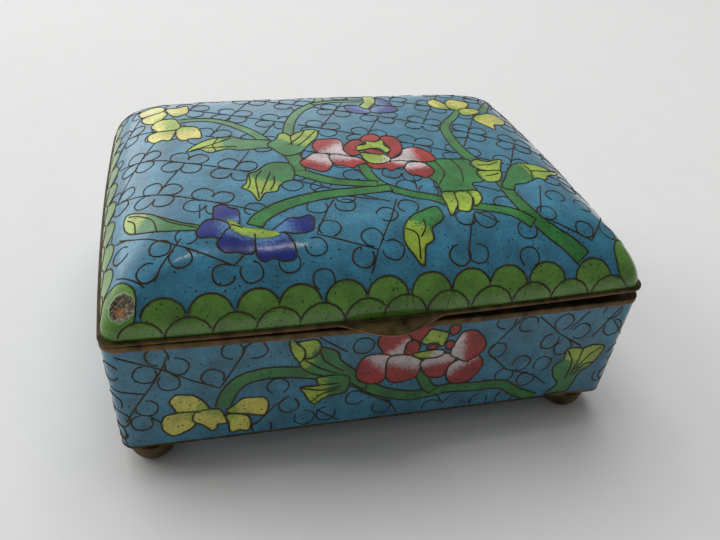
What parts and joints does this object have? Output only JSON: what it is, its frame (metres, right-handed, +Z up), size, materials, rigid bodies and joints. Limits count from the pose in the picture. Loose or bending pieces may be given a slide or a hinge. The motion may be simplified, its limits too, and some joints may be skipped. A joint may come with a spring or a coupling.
{
  "type": "cloisonne enamel box",
  "caption": "Shallow rectangular cloisonne enamel box on bun feet, with a pillow-domed lift-off lid, bronze rims and a thumb tab; turquoise ground with flowers and a green scale border.",
  "frame": {"origin": "on the surface that the feet stand on, under the middle of the bounding box", "axes": "+Z up, -Y towards the thumb tab at the front, +X to the right as seen from the front, along the long side"},
  "size_m": [0.1168, 0.0988, 0.0512],
  "materials": {
    "enamel": "glossy fired glass enamel in turquoise with flowers in red, cobalt, yellow and green, parted by darkened copper wires, finely pitted",
    "bronze": "dark brown tarnished brass, rubbed bright along the edges"
  },
  "bodies": {
    "root": {"box_body": "enamel", "lid_shell": "enamel", "bottom_edge_band": "bronze", "seat_band": "bronze", "lid_band": "bronze", "thumb_tab": "bronze", "foot_front_left": "bronze", "foot_front_right": "bronze", "foot_back_left": "bronze", "foot_back_right": "bronze"}
  },
  "joints": []
}
